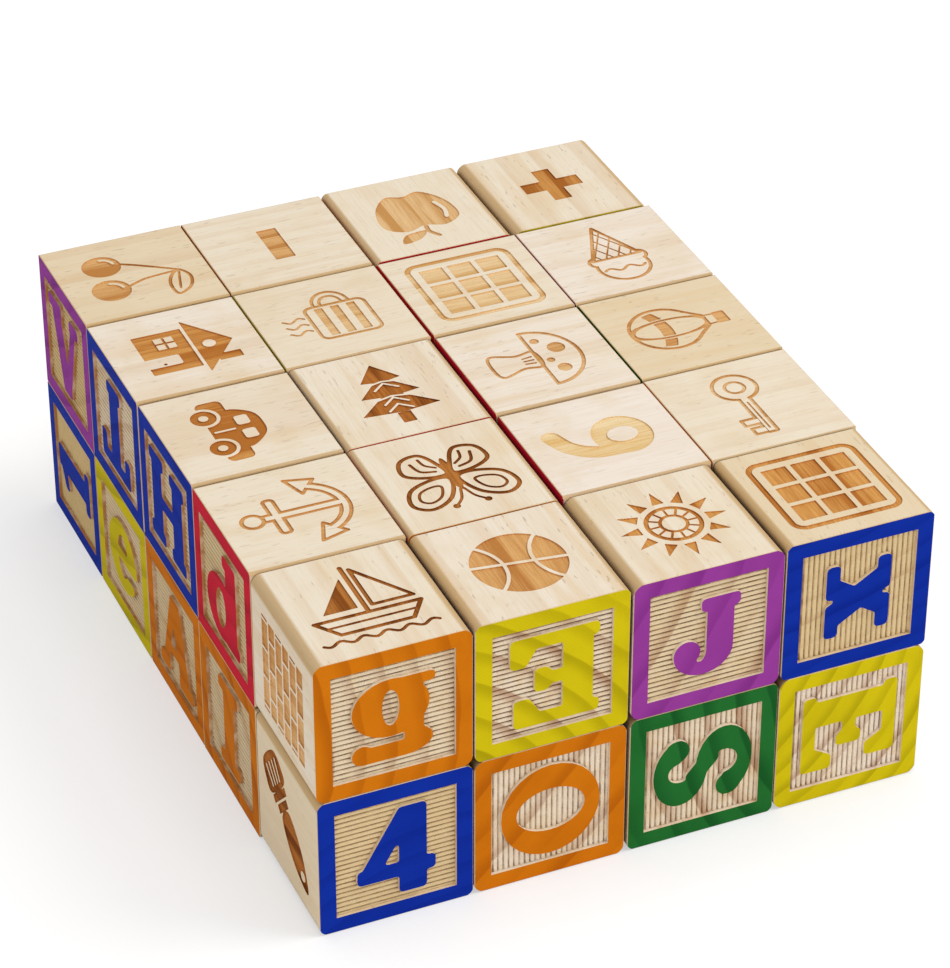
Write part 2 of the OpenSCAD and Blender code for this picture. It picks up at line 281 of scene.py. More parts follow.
def car(x, y):
    cabin = blob(x, y, [(-5.4, -0.6), (-3.6, 3.2), (0, 4), (3.2, 3.2), (5.6, -0.4), (0, -1.4)])
    panes = [box(x, y, s * 2, 1.1, 1.3, 1.1, 0.5) for s in (-1, 1)]
    arches = [disc(x, y, s * 4.5, -4.4, 2.7) for s in (-1, 1)]
    wheels = [less(disc(x, y, s * 4.5, -4.4, 2.1), disc(x, y, s * 4.5, -4.4, 0.8)) for s in (-1, 1)]
    body = union(box(x, y, 0, -2.5, 8.6, 2.2, 1.1), cabin)
    return union(less(body, *panes, *arches, stroke(x, y, [(0, -0.8), (0, -4)], 0.45)), *wheels)


def tree(x, y):
    tiers = [area(x, y, [(0, top), (-w, foot), (0, foot - 0.7), (w, foot)])
             for top, foot, w in [(8.8, 4, 3.4), (5, -0.4, 5), (0.8, -5.2, 6.6)]]
    veins = [stroke(x, y, [(0, v), (s * 2, v - 1.7)], 0.4) for v in (3, -1.4, -3.4) for s in (-1, 1)]
    gaps = [line(y + 0.22 * np.abs(x) - v, 0.4) for v in (3.6, -0.9)]
    return union(less(union(*tiers), *veins, *gaps), box(x, y, 0, -7.4, 1.1, 1.5))


def mushroom(x, y):
    cap = common(oval(x, y, 0, 0.2, 8, 7.2), 0.2 - y)
    stem = blob(x, y, [(-2.2, 0.2), (-2, -3), (-3.2, -7), (0, -7.8), (3.2, -7), (2, -3), (2.2, 0.2)])
    spots = [(-5, 1.7, 0.8), (-2.1, 4.3, 1.5), (1.1, 2, 0.7), (3.9, 3.2, 1.2)]
    return union(line(cap, 0.65), line(stem, 0.6), *[disc(x, y, px, py, r) for px, py, r in spots],
                 *[stroke(x, y, [(px, -0.6), (px * 0.8, -2.2)], 0.4) for px in (-1, 0, 1)])


def balloon(x, y):
    bag = union(disc(x, y, 0, 2.4, 6), area(x, y, [(-5, -0.9), (5, -0.9), (1.5, -4.8), (-1.5, -4.8)]))
    ropes = [stroke(x, y, [(s * 1.4, -4.8), (s * 1.3, -6.4)], 0.4) for s in (-1, 1)]
    gore = oval(x, y, 0, 1.6, 2.6, 6.8)
    band = less(common(line(y - 2.4 - 0.05 * x * x, 2.2), bag), line(gore, 0.9))
    basket = box(x, y, 0, -7.5, 1.7, 1.1, 0.3)
    return union(line(bag, 0.65), common(line(gore, 0.5), bag), common(band, bag + 0.75), *ropes, basket)


def house(x, y):
    roof = area(x, y, [(-8.2, 1.7), (0, 8.2), (8.2, 1.7)])
    walls = box(x, y, 0, -3, 6, 4.2)
    chimney = box(x, y, 4.6, 6.2, 1, 2)
    door = box(x, y, 2.6, -4.4, 1.4, 2.9, 0.4)
    window = box(x, y, -2.7, -2.4, 1.7, 1.6)
    bars = [box(x, y, -2.7, -2.4, 0.22, 1.6), box(x, y, -2.7, -2.4, 1.7, 0.22)]
    whole = less(union(roof, walls, chimney), line(y - 1.5, 0.5), door, window, disc(x, y, 0, 4.2, 1.1))
    return union(whole, *bars, disc(x, y, 3.4, -4.4, 0.3))


def mug(x, y):
    body = box(x, y, -1.4, -1.6, 5, 5.2, 1.3)
    bows = [line(oval(x, y, 4, -1.4, 3.4, 3), 0.6), line(oval(x, y, 4, -1.4, 2.1, 1.8), 0.55)]
    rows = [common(box(x, y, -1.4, v, 4.3, 0.75), body) for v in (1.2, -1.6, -4.4)]
    heights = np.linspace(0, 3.6, 14)
    steam = [stroke(x, y, [(px + 0.5 * math.sin(v * 1.9), 4.4 + v) for v in heights], 0.5)
             for px in (-3.2, -1.2, 0.8)]
    return union(line(body, 0.65), *rows, *steam, *[less(b, body) for b in bows])


def cone(x, y):
    wafer = area(x, y, [(-4.3, 1.4), (4.3, 1.4), (0, -8.8)])
    hatch = union(line((x + y * 0.55) % 2.2 - 1.1, 0.35), line((x - y * 0.55) % 2.2 - 1.1, 0.35))
    scoop = union(disc(x, y, 0, 4.2, 4.5), *[disc(x, y, px, 1.9, 1.4) for px in (-3.7, -1.3, 1.3, 3.7)])
    drip = stroke(x, y, wave(-3.6, 3.6, 5, 0.5, 3.6), 0.55)
    return union(line(wafer, 0.65), common(hatch, wafer), less(line(scoop, 0.65), wafer), drip)


def cherries(x, y):
    fruit = [less(disc(x, y, px, py, 3.3), stroke(x, y, arc(px, py, 2.2, 2.2, 100, 170), 0.55))
             for px, py in [(-4.2, -4.2), (3.6, -5)]]
    stems = [curve(x, y, [(px, py), (px * 0.6, 1.6), (1.6, 7.6)], 0.6)
             for px, py in [(-4, -1.2), (3.5, -2)]]
    leaf = blob(x, y, [(1.6, 7.4), (4, 8.6), (7.2, 7.6), (8.8, 5), (5.8, 4.6), (3, 5.6)])
    return union(*fruit, *stems, line(leaf, 0.6), stroke(x, y, [(2.2, 7.2), (7.2, 5.8)], 0.45))


def minus(x, y):
    return box(x, y, 0, 0, 5, 1.75)


def plus(x, y):
    return union(box(x, y, 0, 0, 6, 1.8), box(x, y, 0, 0, 1.8, 6))


def apple(x, y):
    fruit = blob(x, y, [(0, 4), (3.4, 5), (6.6, 2.6), (6, -2.8), (3, -6.6), (0, -5.9),
                        (-3, -6.6), (-6, -2.8), (-6.6, 2.6), (-3.4, 5)])
    leaf = blob(x, y, [(0.5, 5.6), (2.2, 7.8), (5.4, 8.4), (4.2, 6)])
    shine = curve(x, y, [(-4.4, 2.6), (-4.9, 0.2), (-4.2, -2.4)], 0.7)
    stalk = curve(x, y, [(0, 4.4), (0.1, 6), (-0.9, 7.8)], 0.8)
    return union(less(fruit, shine), leaf, stalk)


def bricks(x, y):
    wide, long = 3.1, 5.8
    column = np.floor(x / wide)
    px = x - (column + 0.5) * wide
    py = (y + (column % 2) * long / 2) % long - long / 2
    return common(box(px, py, 0, 0, 1.3, 2.65), box(x, y, 0, 0, 9.2, 9.4))


def brush(x, y):
    x, y = (x + y) * math.sqrt(0.5), (y - x) * math.sqrt(0.5)
    handle = blob(x, y, [(0, -10), (2.1, -6.4), (2.6, -2.4), (1.7, 1.2),
                         (-1.7, 1.2), (-2.6, -2.4), (-2.1, -6.4)])
    bristles = blob(x, y, [(-3.3, 4.8), (-4, 7.2), (-2.6, 9.8), (2.6, 9.8), (4, 7.2), (3.3, 4.8)])
    partings = [stroke(x, y, [(px, 5.6), (px * 1.2, 8.6)], 0.45) for px in (-1.8, -0.6, 0.6, 1.8)]
    return union(less(handle, disc(x, y, 0, -7.4, 0.8)), box(x, y, 0, 2.3, 2.3, 0.65),
                 box(x, y, 0, 3.9, 3.1, 0.6), less(bristles, *partings))


def moon(x, y):
    px, py = around(x - 4.6, y - 2.6, 5)
    return union(less(disc(x, y, -0.6, 0, 7.4), disc(x, y, 3, 2, 6.4)),
                 area(px, py, [(0, 1.2), (0.7, 0.7), (2.3, 0), (0.7, -0.7), (0, -1.2)]))


def star(x, y):
    r = [8.8 if i % 2 == 0 else 3.9 for i in range(10)]
    rim = [(r[i] * math.sin(0.2 * math.pi * i), r[i] * math.cos(0.2 * math.pi * i)) for i in range(10)]
    return union(line(area(x, y, rim), 0.75), shrunk(x, y, rim, 1.9))


def heart(x, y):
    rim = smooth([(0, 4.4), (2.6, 7), (6.4, 6.6), (8, 3), (6, -1.6), (0, -7.6), (-6, -1.6), (-8, 3),
                  (-6.4, 6.6), (-2.6, 7)])
    return union(line(area(x, y, rim), 0.75), shrunk(x, y, rim, 1.35))


def flower(x, y):
    px, py = around(x, y - 2.6, 6)
    leaf = blob(x, y, [(0, -7.6), (2.4, -4.6), (5.6, -4.2), (3.6, -7)])
    return union(line(oval(px, py, 3.6, 0, 2.4, 1.75), 0.6), disc(x, y, 0, 2.6, 1.4),
                 stroke(x, y, [(0, -3.4), (0, -9)], 0.7), leaf)


def kite(x, y):
    sail = area(x, y, [(0, 9), (5.6, 3.2), (0, -4.6), (-5.6, 3.2)])
    spars = [stroke(x, y, [(0, 9), (0, -4.6)], 0.5), stroke(x, y, [(-5.6, 3.2), (5.6, 3.2)], 0.5)]
    dark_quarter = common(sail + 0.7, -x + 0.6, -y + 2.6)
    tail = curve(x, y, [(0, -4.6), (1, -6.2), (-0.4, -8), (1.2, -9.6)], 0.45)
    bows = [area(x, y, [(px - 1.2, py + 0.7), (px + 1.2, py - 0.7),
                        (px + 1.2, py + 0.7), (px - 1.2, py - 0.7)])
            for px, py in [(1, -6.2), (-0.4, -8)]]
    return union(line(sail, 0.7), *spars, dark_quarter, tail, *bows)


def bell(x, y):
    body = blob(x, y, [(-7, -4.6), (-4.6, -1.6), (-4, 3.4), (-1.4, 6.6), (1.4, 6.6),
                       (4, 3.4), (4.6, -1.6), (7, -4.6), (0, -5.4)])
    return union(less(body, line(y + 2.4, 0.5), line(y - 3.6, 0.45)), line(disc(x, y, 0, 7.7, 1.2), 0.6),
                 disc(x, y, 0, -6.9, 1.5))


# What is engraved on the tops of the upper layer, front row first: figure, quarter turns, darkness
TOPS = [
    (boat, 0, 0.8), (ball, 0, 0.3), (sun, 0, 0.48), (grid, 0, 0.52),
    (anchor, 1, 0.3), (butterfly, 2, 0.8), (six, 1, 0.0), (key, 3, 0.18),
    (car, 3, 0.52), (tree, 0, 0.85), (mushroom, 3, 0.22), (balloon, 1, 0.28),
    (house, 3, 0.42), (mug, 1, 0.18), (grid, 0, 0.15), (cone, 2, 0.25),
    (cherries, 3, 0.28), (minus, 1, 0.27), (apple, 2, 0.22), (plus, 0, 0.65),
]
# The sides of the front left blocks that the photo shows, by level
LEFT_SIDES = [(brush, 0, 0.85), (bricks, 0, 0.24)]
# The remaining sides take these in turn, so many places on for the next block, axis and side
OTHERS = [moon, star, heart, flower, kite, bell, boat, ball, sun, anchor, butterfly, key, car, tree,
          mushroom, balloon, house, mug, cone, cherries, apple, plus, grid]
BLOCK_STEP = 5
AXIS_STEP = 2
SIDE_STEP = 11
# Their darkness goes up in steps from the lightest and starts again
LIGHTEST = 0.25
DARKER = 0.13
DARK_STEPS = 5

# Figures that are drawn larger or smaller than the rest
FIGURE_SIZES = {plus: 1.06, bricks: 1.1, brush: 1.35, grid: 1.24, ball: 1.3, apple: 1.25}

# Blocks whose letter lies on its side, so that its ribs stand upright: on the first or the second end
UPRIGHT_FIRST = {
    "block_blue_x_5", "block_red_L_3", "block_yellow_C_6", "block_orange_Z_K", "block_orange_O_P",
    "block_green_S_F", "block_yellow_E_L", "block_blue_1_I",
}
UPRIGHT_SECOND = {
    "block_orange_g_G", "block_purple_J_2", "block_red_d_D", "block_orange_K_8", "block_green_U_u",
    "block_red_B_W", "block_blue_M_S", "block_green_g_Z",
}

# Grain that is chosen for these blocks: direction away from the pith in degrees, contrast of the rings,
# tint
CHOSEN_GRAIN = {
    "block_yellow_E_7": (47, 0.95, 0.35),
    "block_green_S_F": (198, 0.95, 0.35),
    "block_blue_4_W": (104, 0.25, 0.85),
    "block_yellow_E_L": (323, 0.8, 0.15),
}


# From a sampled distance to closed lines

# Where a line enters and leaves a cell, by which corners are inside (1, 2, 4, 8 anticlockwise)
CROSSINGS = {1: "bl", 2: "rb", 3: "rl", 4: "tr", 5: "bltr", 6: "tb", 7: "tl", 8: "lt", 9: "bt",
             10: "rblt", 11: "rt", 12: "lr", 13: "br", 14: "lb"}
ALL_INSIDE = 15
# Where the sides of a cell start, and whether they run upwards
CELL_EDGES = {"b": (0, 0, 0), "t": (0, 1, 0), "l": (0, 0, 1), "r": (1, 0, 1)}


def thin_out(points):
    """Drops the points of an open line that lie on it within the slack."""
    if len(points) < 3:
        return points
    first, last = points[0], points[-1]
    run = last - first
    off = points - first
    length = np.hypot(*run)
    if length < TINY:
        gap = np.hypot(off[:, 0], off[:, 1])
    else:
        gap = np.abs(run[0] * off[:, 1] - run[1] * off[:, 0]) / length
    far = int(np.argmax(gap))
    if gap[far] < LINE_SLACK:
        return np.array([first, last])
    return np.vstack([thin_out(points[:far + 1])[:-1], thin_out(points[far:])])


def loop_area(p):
    after = np.roll(p, -1, axis=0)
    return abs(np.sum(p[:, 0] * after[:, 1] - p[:, 1] * after[:, 0])) / 2


def cell_crossings(d, axis):
    """Which crossing of the grid follows which along a figure's edge, and where each one is."""
    inside = d < 0
    case = inside[:-1, :-1] + 2 * inside[1:, :-1] + 4 * inside[1:, 1:] + 8 * inside[:-1, 1:]
    follows, spot = {}, {}
    for i, j in np.argwhere((case > 0) & (case < ALL_INSIDE)):
        ways = CROSSINGS[int(case[i, j])]
        for start, end in zip(ways[::2], ways[1::2]):
            ends = []
            for side in (start, end):
                di, dj, up = CELL_EDGES[side]
                a, b = (i + di, j + dj), (i + di + (1 - up), j + dj + up)
                share = d[a] / (d[a] - d[b])
                spot[(*a, up)] = (axis[a[0]] + share * (axis[b[0]] - axis[a[0]]),
                                  axis[a[1]] + share * (axis[b[1]] - axis[a[1]]))
                ends.append((*a, up))
            follows[ends[0]] = ends[1]
    return follows, spot


def contours(figure):
    """The closed outlines of a figure, each an array of points."""
    axis = np.arange(-MOTIF_REACH, MOTIF_REACH + GRID_STEP, GRID_STEP)
    x, y = np.meshgrid(axis, axis, indexing="ij")
    size = FIGURE_SIZES.get(figure, FIGURE_SIZE)
    follows, spot = cell_crossings(figure(x / size, y / size) + GRID_NUDGE, axis)
    loops = []
    while follows:
        start, at = next(iter(follows.items()))
        run = [start]
        del follows[start]
        while at != start:
            run.append(at)
            at = follows.pop(at)
        p = np.array([spot[k] for k in run])
        half = len(p) // 2
        p = np.vstack([thin_out(p[:half + 1])[:-1], thin_out(np.vstack([p[half:], p[:1]]))[:-1]])
        if len(p) > 2 and loop_area(p) > LEAST_LOOP:
            loops.append(p)
    return loops


KNOWN_CONTOURS = {}


def motif_loops(figure, quarter_turns):
    """The outlines of a figure, turned."""
    if figure not in KNOWN_CONTOURS:
        KNOWN_CONTOURS[figure] = contours(figure)
    c, s = [(1, 0), (0, 1), (-1, 0), (0, -1)][quarter_turns % 4]
    return [p @ np.array([[c, s], [-s, c]]) for p in KNOWN_CONTOURS[figure]]


# From closed lines to relief

def relief(outline, loops, lines, depth_at):
    """Cuts a flat face along its loops and lowers what is inside them.

    Returns points (x, y, height), how deep in a groove each lies, and triangles and quads as
    (corners, place) with place "high", "low" or "wall". The face looks towards +height.
    """
    points, edges = [], []
    for loop in (outline, *loops):
        start = len(points)
        points.extend(map(tuple, loop))
        edges.extend((start + i, start + (i + 1) % len(loop)) for i in range(len(loop)))
    for a, b in lines:
        edges.append((len(points), len(points) + 1))
        points.extend([a, b])
    cut = delaunay_2d_cdt([Vector(p) for p in points], edges, [], 0, CUT_SLACK, False)
    xy = np.array([(v.x, v.y) for v in cut[0]])
    corners = [tuple(f) for f in cut[2]]
    middle = np.array([xy[list(f)].mean(0) for f in corners])
    starts = [tuple(p) for loop in loops for p in loop]
    ends = [tuple(p) for loop in loops for p in np.roll(loop, -1, axis=0)]
    low = odd_crossings(middle[:, 0], middle[:, 1], starts, ends)
    depth, groove = depth_at(xy)
    made, deep, faces, known = [], [], [], {}

    def point(i, lowered):
        if (i, lowered) not in known:
            known[(i, lowered)] = len(made)
            made.append((xy[i, 0], xy[i, 1], -depth[i] if lowered else 0.0))
            deep.append(groove[i] if lowered else 0.0)
        return known[(i, lowered)]

    low_edges = set()
    for f, is_low in zip(corners, low):
        faces.append((tuple(point(i, bool(is_low)) for i in f), "low" if is_low else "high"))
        if is_low:
            low_edges.update(zip(f, (*f[1:], f[0])))
    for f, is_low in zip(corners, low):
        if not is_low:
            for i, j in zip(f, (*f[1:], f[0])):
                if (j, i) in low_edges:
                    wall = (point(j, False), point(i, False), point(i, True), point(j, True))
                    faces.append((wall, "wall"))
    return np.array(made), np.array(deep), faces


def rib_lines(upright):
    """The lines along which a panel's floor folds, and its depth at any point."""
    pitch = 2 * PANEL_HALF / RIB_COUNT
    reach = PANEL_HALF + LINE_OVERHANG
    folds = []
    for k in range(RIB_COUNT):
        foot = -PANEL_HALF + (k + 0.5) * pitch + FOLD_SHIFT
        folds += [foot - GROOVE_SHARE * pitch, foot, foot + GROOVE_SHARE * pitch]
    lines = [((v, -reach), (v, reach)) if upright else ((-reach, v), (reach, v)) for v in folds]

    def depth_at(xy):
        v = xy[:, 0] if upright else xy[:, 1]
        share = ((v + PANEL_HALF - FOLD_SHIFT) / pitch) % 1
        rise = np.clip(np.abs(share - 0.5) / GROOVE_SHARE, 0, 1)
        # the second value is how dark the groove is painted, brown and painted shade, lighter in upright
        # grooves
        return PANEL_DEPTH - RIB_RISE * rise, (1 - rise) * (UPRIGHT_GROOVE_SHADE if upright else 1)

    return lines, depth_at


def engraved(xy):
    """The depth of an engraving at any point, with no grooves."""
    return np.full(len(xy), ENGRAVE_DEPTH), np.zeros(len(xy))


# Reading a packed block

def edge_loops(triangles):
    """The closed edges round a set of triangles, as lists of point numbers."""
    follows = {}
    for t in triangles:
        for i, j in zip(t, (t[1], t[2], t[0])):
            if i in follows.get(j, ()):
                follows[j].discard(i)
            else:
                follows.setdefault(i, set()).add(j)
    follows = {i: s for i, s in follows.items() if s}
    loops = []
    while follows:
        start = next(iter(follows))
        at, run = start, []
        while True:
            run.append(at)
            after = follows[at].pop()
            if not follows[at]:
                del follows[at]
            at = after
            if at == start:
                break
        loops.append(run)
    return loops


class Block:
    """A packed block in its own frame: right, up and out of its first end, in millimetres."""

    def __init__(self, name, obj):
        self.name = name
        low, high = [np.array(v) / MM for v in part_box(name)]
        self.centre = (low + high) / 2
        self.half = (high[2] - low[2]) / 2
        welded, triangles = self.weld(obj.data)
        p = welded[triangles]
        cross = np.cross(p[:, 1] - p[:, 0], p[:, 2] - p[:, 0])
        size = np.linalg.norm(cross, axis=1)
        real = size > TINY
        triangles, cross, size = triangles[real], cross[real], size[real]
        normal = cross / size[:, None]
        # the small turn of the block in the stack, from its upright flat sides a quarter turn apart
        flat = (np.abs(normal[:, 2]) < FLAT_SLOPE) & (size > TWICE_LEAST_FLAT)
        turn = 4 * np.arctan2(normal[flat, 1], normal[flat, 0])
        twist = math.atan2(np.sum(size[flat] * np.sin(turn)), np.sum(size[flat] * np.cos(turn))) / 4
        c, s = math.cos(twist), math.sin(twist)
        x_axis, y_axis, z_axis = np.array([c, s, 0]), np.array([-s, c, 0]), np.array([0, 0, 1.0])
        # the ends are where the sunk panels are
        local = (welded - self.centre) @ np.array([x_axis, y_axis, z_axis]).T
        floor = self.half - PANEL_DEPTH
        sunk = [np.sum(np.abs(np.abs(local[:, k]) - floor) < NEAR) for k in (0, 1)]
        self.along_y = sunk[1] > sunk[0]
        if self.along_y:
            self.axes = np.array([x_axis, z_axis, -y_axis])
        else:
            self.axes = np.array([-y_axis, z_axis, -x_axis])
        self.points = (welded - self.centre) @ self.axes.T
        self.sort(triangles, normal @ self.axes.T)

    @staticmethod
    def weld(mesh):
        """The solid's points in millimetres, each only once, and its triangles."""
        co = np.empty(len(mesh.vertices) * 3)
        mesh.vertices.foreach_get("co", co)
        triangles = np.array([p.vertices for p in mesh.polygons])
        rounded = np.round(co.reshape(-1, 3) / MM, PLACE_DIGITS)
        points, index = np.unique(rounded, axis=0, return_inverse=True)
        return points, index.reshape(-1)[triangles]

    def sort(self, triangles, normal):
        """Sets the flat faces apart from the rounded edges."""
        p = self.points[triangles]
        self.ends, self.sides = {}, {}
        used = np.zeros(len(triangles), bool)
        for sign in (1, -1):
            height = sign * p[:, :, 2]
            top = np.all(np.abs(height - self.half) < NEAR, axis=1)
            floor = np.all(np.abs(height - self.half + PANEL_DEPTH) < NEAR, axis=1)
            wall = np.all(height > self.half - PANEL_DEPTH - NEAR, axis=1)
            wall &= np.abs(normal[:, 2]) < FLAT_SLOPE
            wall &= np.all(np.abs(p[:, :, :2]) < PANEL_HALF + NEAR, axis=(1, 2))
            self.ends[sign] = (edge_loops(triangles[top]), edge_loops(triangles[floor]))
            used |= top | floor | wall
        for axis in (0, 1):
            for sign in (1, -1):
                side = np.all(np.abs(sign * p[:, :, axis] - self.half) < NEAR, axis=1)
                self.sides[(axis, sign)] = edge_loops(triangles[side])
                used |= side
        self.rounded = triangles[~used]
        outline = self.points[self.sides[(1, 1)][0]]
        self.edge_r = self.half - np.abs(outline[:, 0]).max()

    def rounded_normals(self, p, facing):
        """Directions of a rounded edge at points of the block, from the way its face looks."""
        across_stick = abs(facing[2]) < ROUNDED_SLOPE
        radius = self.edge_r if across_stick else END_EDGE_R
        n = np.maximum(np.abs(p) - (self.half - radius), 0) * np.sign(p)
        n[:, np.abs(facing) < ROUNDED_SLOPE] = 0
        n[np.linalg.norm(n, axis=1) < TINY] = facing
        return n / np.linalg.norm(n, axis=1)[:, None]


def longest(loops, points):
    """The points of the loop that reaches furthest."""
    return points[max(loops, key=lambda loop: np.ptp(points[loop], axis=0).sum())]


class Sheet:
    """Points, faces and marks of one piece as they are gathered."""

    def __init__(self):
        self.points = []
        self.groove = []
        self.burn = []
        self.faces = []
        self.stuff = []
        self.rounded = []
        self.count = 0

    def add(self, points, groove, burn, faces, stuff, rounded):
        self.points.append(points)
        self.groove.append(groove)
        self.burn.append(np.full(len(points), burn))
        self.faces += [tuple(i + self.count for i in f) for f in faces]
        self.stuff += stuff
        self.rounded += [rounded] * len(faces)
        self.count += len(points)

    def add_relief(self, points, groove, burn, faces, kinds):
        self.add(points, groove, burn, [f for f, _ in faces], [kinds[k] for _, k in faces], False)


def stack_index(column, row, level):
    return (level * ROWS + row) * COLUMNS + column


def engraving_for(place, axis, sign, along_y):
    """Which figure a long side carries: figure, quarter turns, darkness."""
    column, row, level = place
    if (axis, sign) == (1, 1) and level == 1:
        return TOPS[row * COLUMNS + column]
    if along_y and axis == 0 and sign == -1 and row == 0 and column == 0:
        return LEFT_SIDES[level]
    number = stack_index(*place) * BLOCK_STEP + axis * AXIS_STEP + (sign + 1) // 2 * SIDE_STEP
    return OTHERS[number % len(OTHERS)], number % 4, LIGHTEST + DARKER * (number % DARK_STEPS)


def add_ends(sheet, block):
    """Both ends: the painted border and letter, and the ribbed floor of the panel."""
    scorch = FRONT_SCORCH if block.along_y else ACROSS_SCORCH
    for sign, upright in ((1, UPRIGHT_FIRST), (-1, UPRIGHT_SECOND)):
        tops, floors = block.ends[sign]
        flip = np.array([sign, 1.0])
        flat = block.points[:, :2] * flip
        lines, depth_at = rib_lines(block.name in upright)
        made, deep, faces = relief(longest(tops, flat), [flat[f] for f in floors], lines, depth_at)
        points = np.column_stack([made[:, :2] * flip, sign * (block.half + made[:, 2])])
        sheet.add_relief(points, deep, scorch, faces, END_KINDS)


def right_and_up(block, out):
    """A side's own right and up in the block's frame, as seen from outside with +Z or +Y upwards."""
    world_out = out @ block.axes
    if abs(world_out[2]) > FACES_UP:
        right, up = np.array([1.0, 0, 0]), np.array([0, np.sign(world_out[2]), 0])
    else:
        up = np.array([0, 0, 1.0])
        right = np.cross(up, world_out)
    return [np.round(block.axes @ v) for v in (right, up)]


def add_sides(sheet, block, place):
    """The four bare long sides with their burnt figures."""
    for (axis, sign), loops in block.sides.items():
        out = np.zeros(3)
        out[axis] = sign
        right, up = right_and_up(block, out)
        flat = np.column_stack([block.points @ right, block.points @ up])
        figure, turns, tone = engraving_for(place, axis, sign, block.along_y)
        made, deep, faces = relief(longest(loops, flat), motif_loops(figure, turns), [], engraved)
        points = made[:, :1] * right + made[:, 1:2] * up + (block.half + made[:, 2:]) * out
        sheet.add_relief(points, deep, tone, faces, SIDE_KINDS)


def add_rounded_edges(sheet, block):
    """The rounded edges as they are in the solid; those that look along the stick are painted."""
    used, renumbered = np.unique(block.rounded, return_inverse=True)
    triangles = renumbered.reshape(-1, 3)
    points = block.points[used]
    p = points[triangles]
    leaning = np.cross(p[:, 1] - p[:, 0], p[:, 2] - p[:, 0])
    painted = np.abs(leaning[:, 2]) > PAINTED_SLOPE * np.linalg.norm(leaning, axis=1)
    sheet.add(points, np.zeros(len(points)), 0.0, [tuple(map(int, t)) for t in triangles],
              [PAINT if is_painted else WOOD for is_painted in painted], True)


def draw_grain(block, chance):
    """Where the block lay in the tree, and the rings per millimetre, contrast and tint of its wood."""
    turn = chance.uniform(0, 2 * math.pi)
    far = chance.uniform(*PITH_FAR)
    along = chance.uniform(0, STICK_LENGTH)
    ring_width = chance.uniform(*RING_WIDTH)
    contrast = chance.uniform(*CONTRAST)
    tint = chance.uniform(0, 1)
    if block.name in CHOSEN_GRAIN:
        degrees, contrast, tint = CHOSEN_GRAIN[block.name]
        turn = math.radians(degrees)
    pith = np.array([far * math.cos(turn), far * math.sin(turn), along])
    return pith, (1 / ring_width, contrast, tint)


def mark_points(mesh, sheet, block, chance):
    """Gives every point what the materials read: grain, groove darkness (brown and painted shade), burn,
    and the tan of the rounded edges (rubbed wear and painted shade).
    """
    points = np.vstack(sheet.points)
    pith, look = draw_grain(block, chance)
    edge = np.minimum(np.abs(points[:, 0]), np.abs(points[:, 1])) - (block.half - block.edge_r)
    vectors = {"grain": points + pith, "look": np.tile(look, (len(points), 1))}
    values = {
        "groove": np.concatenate(sheet.groove),
        "burn": np.concatenate(sheet.burn),
        # tan of the rounded edges: rubbed wear and painted shade
        "worn_and_shaded": np.clip(edge / (WORN_AND_SHADED_SHARE * block.edge_r), 0, 1),
    }
    for name, data in vectors.items():
        layer = mesh.attributes.new(name, "FLOAT_VECTOR", "POINT")
        layer.data.foreach_set("vector", data.astype(np.float32).ravel())
    for name, data in values.items():
        layer = mesh.attributes.new(name, "FLOAT", "POINT")
        layer.data.foreach_set("value", data.astype(np.float32))


def weld_seams(mesh):
    bm = bmesh.new()
    bm.from_mesh(mesh)
    bmesh.ops.remove_doubles(bm, verts=bm.verts, dist=WELD)
    bm.to_mesh(mesh)
    bm.free()


def set_normals(mesh, block):
    """Flat faces stay flat, rounded edges get the directions of a true round."""
    co = np.empty(len(mesh.vertices) * 3)
    mesh.vertices.foreach_get("co", co)
    local = (co.reshape(-1, 3) / MM - block.centre) @ block.axes.T
    corner = np.empty(len(mesh.loops), np.int32)
    mesh.loops.foreach_get("vertex_index", corner)
    normals = np.empty((len(corner), 3))
    for face in mesh.polygons:
        own = slice(face.loop_start, face.loop_start + face.loop_total)
        facing = np.array(face.normal)
        if face.use_smooth:
            facing = block.rounded_normals(local[corner[own]], block.axes @ facing) @ block.axes
        normals[own] = facing
    mesh.normals_split_custom_set(normals.tolist())


def build_mesh(block, place, chance):
    """The block's mesh with ribbed panels and engraved sides."""
    sheet = Sheet()
    add_ends(sheet, block)
    add_sides(sheet, block, place)
    add_rounded_edges(sheet, block)
    mesh = bpy.data.meshes.new(block.name + "_finish")
    mesh.from_pydata((np.vstack(sheet.points) @ block.axes + block.centre) * MM, [], sheet.faces)
    mesh.polygons.foreach_set("material_index", sheet.stuff)
    mesh.polygons.foreach_set("use_smooth", sheet.rounded)
    mark_points(mesh, sheet, block, chance)
    weld_seams(mesh)
    set_normals(mesh, block)
    return mesh


# Materials

def linear(*srgb):
    """A colour from its 0 to 255 screen values."""
    scaled = [v / 255 for v in srgb]
    return tuple(v / 12.92 if v <= 0.04045 else ((v + 0.055) / 1.055) ** 2.4 for v in scaled) + (1.0,)


